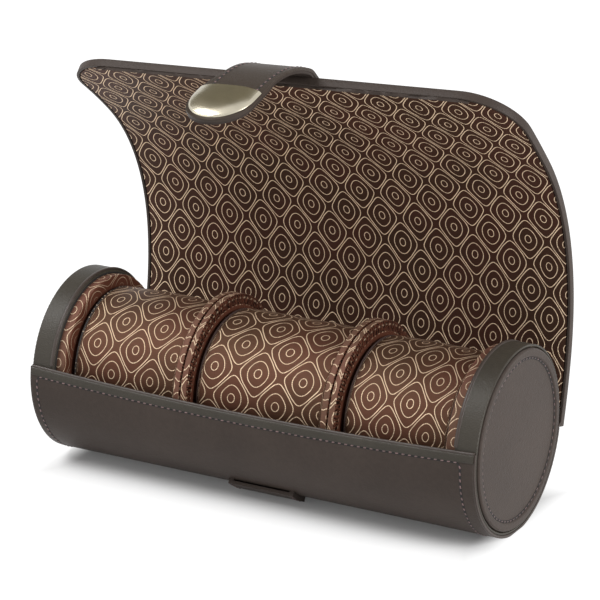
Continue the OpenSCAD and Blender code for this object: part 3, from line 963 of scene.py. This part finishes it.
class CASE_OT_cushions(bpy.types.Operator):
    """Model the three crowned cushions with their drawn-in sides and bound edges"""

    bl_idname = "case.cushions"
    bl_label = "Model the Cushions"

    def execute(self, context):
        swell = 0.9
        for i in (1, 2, 3):
            low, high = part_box(f"cushion_{i}_cover")
            x0, x1 = low[0] / MM, high[0] / MM
            mid, half = (x0 + x1) / 2, (x1 - x0) / 2
            radius = (high[2] - low[2]) / 2 / MM
            centre = (high[2] + low[2]) / 2 / MM
            # the edge's radius, how far the middle stands over the edges, and how far the sides are drawn in
            edge, crown, draw = 2.3, 0.5, 2.4
            end_r = radius - crown
            side = [(half - draw * (1 - (k / 8) ** 2), (end_r - edge) * k / 8) for k in range(9)]
            turn = [(half - edge + edge * math.cos(a), end_r - edge + edge * math.sin(a))
                    for a in np.radians(np.arange(10, 90, 10))]
            top = [((half - edge) * k / 10, end_r + crown * math.cos(math.radians(9 * k)))
                   for k in range(10, -1, -1)]
            flank = side + turn + top
            outline = np.array([(x, r) for x, r in flank] + [(-x, r) for x, r in flank[-2::-1]])
            rng = np.random.default_rng(7 * i)
            waves = rng.uniform(0, TURN, 6)
            n = len(outline)
            run = lengths(outline)

            def place(u, v):
                k = np.round(u * (n - 1)).astype(int)
                angle = v * TURN
                x = outline[k, 0]
                r = outline[k, 1]
                soft = 0.16 * np.sin(3 * angle + waves[0]) + 0.1 * np.sin(7 * angle + waves[1] + x / 9)
                soft = soft + 0.12 * np.sin(x / 6.5 + waves[2]) * np.sin(2 * angle + waves[3])
                # the top swells a little more than the side that lies on the pad
                swollen = swell * np.clip(np.sin(angle) * 1.6, 0, 1)
                r = r + (soft - 0.3 + swollen) * np.clip(r / 20 - 0.8, 0, 1)
                y, z = r * np.cos(angle), r * np.sin(angle) + centre
                return np.stack([(mid - x) * MM, y * MM, z * MM], -1)

            pad = laid_grid(f"cushion_{i}_pad", n - 1, 144, place, (run[-1] * MM, TURN * 0.037))
            tidy_mesh(pad, 80)
            dress(pad, "cushion", f"cushion_{i}")
            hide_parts(f"cushion_{i}_cover", f"cushion_{i}_core")
            angles = np.linspace(0, TURN, 145)
            # the bindings follow the swelling of the top
            rings = [end_r - 0.75 + swell * min(1, max(0, math.sin(a) * 1.6)) for a in angles]
            for word, end in SIDES:
                centres = [(mid + end * (half - 0.7), ring * math.cos(a), ring * math.sin(a) + centre)
                           for a, ring in zip(angles, rings)]
                bead = swept(
                    f"cushion_{i}_{word}_binding", centres, outward(angles), [(1, 0, 0)] * len(angles),
                    oval(0.55, 0.5, 8), closed=True)
                # the first cushion's left edge is bound dark with pale stitches; the other bindings take
                # painted shade
                material = "bead" if (i, word) == (1, "left") else "piping"
                dress(bead, material, f"cushion_{i}")
        return {"FINISHED"}


class CASE_OT_pads(bpy.types.Operator):
    """Model the curved pads that the cushions lie on"""

    bl_idname = "case.pads"
    bl_label = "Model the Pads"

    def execute(self, context):
        # each bay's two ends along the barrel, the pads' radii, and their arc under the axis
        bays = ((-103.05, -42.0), (-33.8, 37.8), (45.8, 103.05))
        inner, outer = 38.1, 42.4
        angles = np.radians(np.linspace(196.5, 343.5, 61))
        for i, (x0, x1) in enumerate(bays, 1):
            mid, half = (x0 + x1) / 2, (x1 - x0) / 2
            # the pad is thinner towards its two ends
            flank = [(inner + 0.9 * (1 - math.sin(math.radians(10 * k + 5))), half - 0.5 - 4 * k / 9)
                     for k in range(9)]
            ring = [(r, -x) for r, x in flank] + flank[::-1] + [(outer, half - 0.3), (outer, -half + 0.3)]
            pad = barrel_roll(f"trough_pad_{i}", mid, 0, angles, 1, ring)
            co = vertices(pad)
            angle = np.arctan2(co[:, 2] - AXIS_H, co[:, 1])
            uv = loop_points(pad, np.stack([co[:, 0], angle * 0.04], -1))
            pad.data.uv_layers[0].data.foreach_set("uv", uv.ravel())
            dress(pad, "pad", "barrel")
            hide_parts("trough_pads")
        return {"FINISHED"}


def lip_angle(x, r=WRAP_R):
    """Angle of the trough's lip at a radius, counted from the back upwards; the lip dips in the middle"""
    rise, dip, reach = WRAP_R * math.sin(math.radians(10)), 3.3, 121.25
    return math.pi - math.asin((rise - dip * (1 - (x / reach) ** 2)) / r)


class CASE_OT_edges(bpy.types.Operator):
    """Model the rolled leather edge round the trough"""

    bl_idname = "case.edges"
    bl_label = "Model the Rolled Edges"

    def execute(self, context):
        end = BARREL_HALF - 0.7

        def along_lip(r, past, lift, way):
            """Points past the lip by an angle, their normals, and the directions across the lip"""
            line = [(x, lip_angle(x, r) + past) for x in np.linspace(-end, end, 61)]
            centres = [barrel_point(x, r, a) + np.array([0, 0, lift]) for x, a in line]
            sides = [(0, -way * math.sin(a), way * math.cos(a)) for x, a in line]
            return centres, outward([a for x, a in line]), sides

        rolls = [swept("trough_lip_roll", *along_lip(ROLL_R, 0, -0.1, 1), oval(0.78, 1.0))]
        # the turned edge above the seam is a little thicker than the rest
        section = [
            (-0.3, -2.0), (0.2, -2.0), (0.45, -1.6), (0.5, -0.9),
            (0.5, 0.9), (0.42, 1.5), (0.15, 1.9), (-0.3, 2.0)]
        band = swept("trough_lip_band", *along_lip(WRAP_R, 2.1 / WRAP_R, 0, -1), section)
        dress(band, "leather_band", "barrel")
        back = math.radians(348)
        for word, side in SIDES:
            angles = np.linspace(lip_angle(side * end, ROLL_R), back, 70)
            name = f"trough_{word}_edge_roll"
            rolls.append(barrel_roll(name, side * end, ROLL_R, angles, side, oval(0.74, 0.76)))
        # a soft roll stands out along the inner edge of each rim, above the trough
        rim_x, rim_r = 109.4, 44.8
        for word, side in SIDES:
            angles = np.radians(np.linspace(-8, 168, 89))
            rolls.append(barrel_roll(f"{word}_rim_roll", side * rim_x, rim_r, angles, side, oval(0.62, 1.0)))
        for roll in rolls:
            co = vertices(roll)
            co[:, 2] = np.maximum(co[:, 2], 0.0)
            set_vertices(roll, co)
            dress(roll, "leather_edge", "barrel")
        return {"FINISHED"}


class CASE_OT_stitches(bpy.types.Operator):
    """Sew the trough, the end discs and the keeper"""

    bl_idname = "case.stitches"
    bl_label = "Sew the Stitches"

    def execute(self, context):
        pitch = context.scene.case_sizes.stitch_pitch / MM
        # how far the seam lies under the lip, its corners' radius, and how far out its two flanks lie
        drop, turn = 4.4 / WRAP_R, 3.0
        ends = {-1: 116.5, 1: 113.0}
        # the seams end where the leather rolls under the barrel
        low_angle = math.radians(258)

        def flank(side):
            end = ends[side]
            top = lip_angle(side * end) + drop
            straight = [(side * end, a) for a in np.linspace(low_angle, top + turn / WRAP_R, 60)]
            corner = [(side * (end - turn * (1 - math.cos(t))), top + turn / WRAP_R * (1 - math.sin(t)))
                      for t in np.radians(np.arange(15, 90, 15))]
            return straight + corner

        across = [(x, lip_angle(x) + drop) for x in np.linspace(-ends[-1] + turn, ends[1] - turn, 60)]
        line = flank(-1) + across + flank(1)[::-1]
        points = [barrel_point(x, WRAP_R, a) for x, a in line]
        normals = outward([a for x, a in line])
        trough = dashes("trough_stitches", along_line(points, normals, pitch), finish("stitch"))
        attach(trough, "barrel")
        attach(seam_groove("trough_seam_groove", points, normals), "barrel")
        angles = np.linspace(0, TURN, 181)
        ring_x, ring_r, gap_x, gap_r = 120.42, 38.6, 108.5, 42.75
        for word, side in SIDES:
            points = [barrel_point(side * ring_x, ring_r, a) for a in angles]
            normals = [(side, 0, 0)] * len(angles)
            ring = dashes(f"{word}_end_stitches", along_line(points, normals, pitch), finish("end_stitch_shaded"))
            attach(ring, "barrel")
            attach(seam_groove(f"{word}_end_seam_groove", points, normals), "barrel")
            # a near-black ring of painted shade fills the gap between the rim and the lined board
            bound = barrel_roll(
                f"{word}_board_gap_shade", side * gap_x, gap_r, angles, 1, oval(0.5, 0.45, 8), closed=True)
            paint(bound, finish("groove"))
            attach(bound, "barrel")
        low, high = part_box("keeper_loop")
        # the keeper's two seams lie this far in from its edges, just over its leather
        inset, keeper_r = 1.2, 49.02
        angles = np.radians(np.linspace(232, 246, 20))
        places = []
        for x in (low[0] / MM + inset, high[0] / MM - inset):
            points = [barrel_point(x, keeper_r, a) for a in angles]
            places += along_line(points, outward(angles), 2.6, 0.6)
        keeper = dashes("keeper_stitches", places, finish("stitch"), length=1.8)
        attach(keeper, "barrel")
        return {"FINISHED"}


class CASE_OT_stage(bpy.types.Operator):
    """Set the camera, the lamps, the floor and the white surroundings"""

    bl_idname = "case.stage"
    bl_label = "Set the Stage"

    def execute(self, context):
        scene = context.scene
        a, e = math.radians(29.30), math.radians(18.89)
        distance, shift_right, shift_up = 1.5, 0.00353, 0.04572
        back = Vector((math.sin(a) * math.cos(e), -math.cos(a) * math.cos(e), math.sin(e)))
        right = Vector((math.cos(a), math.sin(a), 0))
        up = back.cross(right)
        eye = back * distance + right * shift_right + up * shift_up + Vector((0, 0, AXIS_H))
        data = bpy.data.cameras.new("photo_camera")
        data.lens = 187.1
        data.sensor_width = 36
        data.clip_end = 20
        cam = bpy.data.objects.new("photo_camera", data)
        cam.matrix_world = Matrix((right, up, back)).transposed().to_4x4()
        cam.location = eye
        into_scene(cam)
        scene.camera = cam

        clear_selection()
        bpy.ops.mesh.primitive_plane_add(size=8)
        floor = context.object
        floor.name = "floor"
        f = Finish("floor_paper", Roughness=0.9, Specular_IOR_Level=0.0)
        x, y, _ = f.split(f.place())
        # the paper takes shadow close to the barrel, and glows white away from it
        away = abs(y).smooth(0.028, 0.07).maths("MAXIMUM", abs(x).smooth(0.107, 0.128))
        paper = f.noise(f.place(), 300.0)
        f.set(Base_Color=f.mix(paper, (0.75, 0.75, 0.75), (0.77, 0.77, 0.77)))
        glow = f.node("ShaderNodeEmission", None, {0: (1, 1, 1, 1), 1: 1.15})
        paper_shader = Wire(f, f.shader.outputs[0])
        mixed = f.node("ShaderNodeMixShader", None, {0: away * 0.95 + 0.05, 1: paper_shader, 2: glow})
        f.link(mixed, f.tree.nodes["Material Output"].inputs[0])
        paint(floor, f.material)

        world = scene.world or bpy.data.worlds.new("surroundings")
        scene.world = world
        world.use_nodes = True
        tree = world.node_tree
        tree.nodes.clear()
        new, join = tree.nodes.new, tree.links.new
        # white to the camera and in reflections, and dimmer as a light
        ray = new("ShaderNodeLightPath").outputs
        seen = ray["Is Camera Ray"]
        for kind in ("Is Transmission Ray", "Is Glossy Ray"):
            either = new("ShaderNodeMath")
            either.operation = "MAXIMUM"
            join(seen, either.inputs[0])
            join(ray[kind], either.inputs[1])
            seen = either.outputs[0]
        strength = new("ShaderNodeMapRange")
        join(seen, strength.inputs[0])
        strength.inputs["To Min"].default_value = 0.42
        strength.inputs["To Max"].default_value = 1.0
        sky = new("ShaderNodeBackground")
        sky.inputs[0].default_value = (1, 1, 1, 1)
        join(strength.outputs[0], sky.inputs[1])
        join(sky.outputs[0], new("ShaderNodeOutputWorld").inputs[0])

        def lamp(name, place, aim, size, power):
            light = bpy.data.lights.new(name, "AREA")
            light.shape = "RECTANGLE"
            light.size, light.size_y = size
            light.energy = power
            obj = bpy.data.objects.new(name, light)
            direction = Vector(aim) - Vector(place)
            obj.rotation_euler = direction.to_track_quat("-Z", "Y").to_euler()
            obj.location = place
            into_scene(obj)

        lamp("soft_main", (-0.62, -0.49, 1.09), (0, 0, 0.05), (0.8, 0.5), 14.0)
        lamp("soft_right", (1.35, -0.1, 0.55), (0.1, 0, 0.05), (0.5, 0.8), 19.0)
        lamp("soft_low", (-1.0, -0.95, 0.3), (0, 0.03, 0.14), (1.6, 0.5), 3.2)
        # a dark card over the back, hidden from the camera, for the plate to reflect
        clear_selection()
        bpy.ops.mesh.primitive_plane_add(size=0.5)
        card = context.object
        card.name = "dark_card"
        turn = Vector((-0.46, 0.48, 0.75)).to_track_quat("Z", "Y").to_matrix().to_4x4()
        turn.translation = Vector((-0.25, 0.14, 0.6))
        card.data.transform(turn)
        dark = Finish("dark_card_paper", Base_Color=(0.14, 0.125, 0.085, 1), Roughness=0.9)
        paint(card, dark.material)
        card.visible_camera = False
        scene.view_settings.view_transform = "Standard"
        return {"FINISHED"}


class CASE_PT_panel(bpy.types.Panel):
    """The steps that build the case"""

    bl_label = "Watch Travel Case"
    bl_idname = "CASE_PT_panel"
    bl_space_type = "VIEW_3D"
    bl_region_type = "UI"
    bl_category = "Watch Case"

    def draw(self, context):
        layout = self.layout
        for group in (context.scene.case_colours, context.scene.case_sizes):
            for name in group.__annotations__:
                layout.prop(group, name)
        for step in STEPS:
            layout.operator(f"case.{step}")


STEPS = ("dress", "flap", "strap", "plate", "cushions", "pads", "edges", "stitches", "stage")
CLASSES = (
    CaseColours, CaseSizes, CASE_OT_dress, CASE_OT_flap, CASE_OT_strap, CASE_OT_plate, CASE_OT_cushions,
    CASE_OT_pads, CASE_OT_edges, CASE_OT_stitches, CASE_OT_stage, CASE_PT_panel)


def register():
    for c in CLASSES:
        bpy.utils.register_class(c)
    bpy.types.Scene.case_colours = bpy.props.PointerProperty(type=CaseColours)
    bpy.types.Scene.case_sizes = bpy.props.PointerProperty(type=CaseSizes)


def unregister():
    del bpy.types.Scene.case_sizes
    del bpy.types.Scene.case_colours
    for c in reversed(CLASSES):
        bpy.utils.unregister_class(c)


def main():
    register()
    for step in STEPS:
        getattr(bpy.ops.case, step)()


if __name__ == "__main__":
    main()
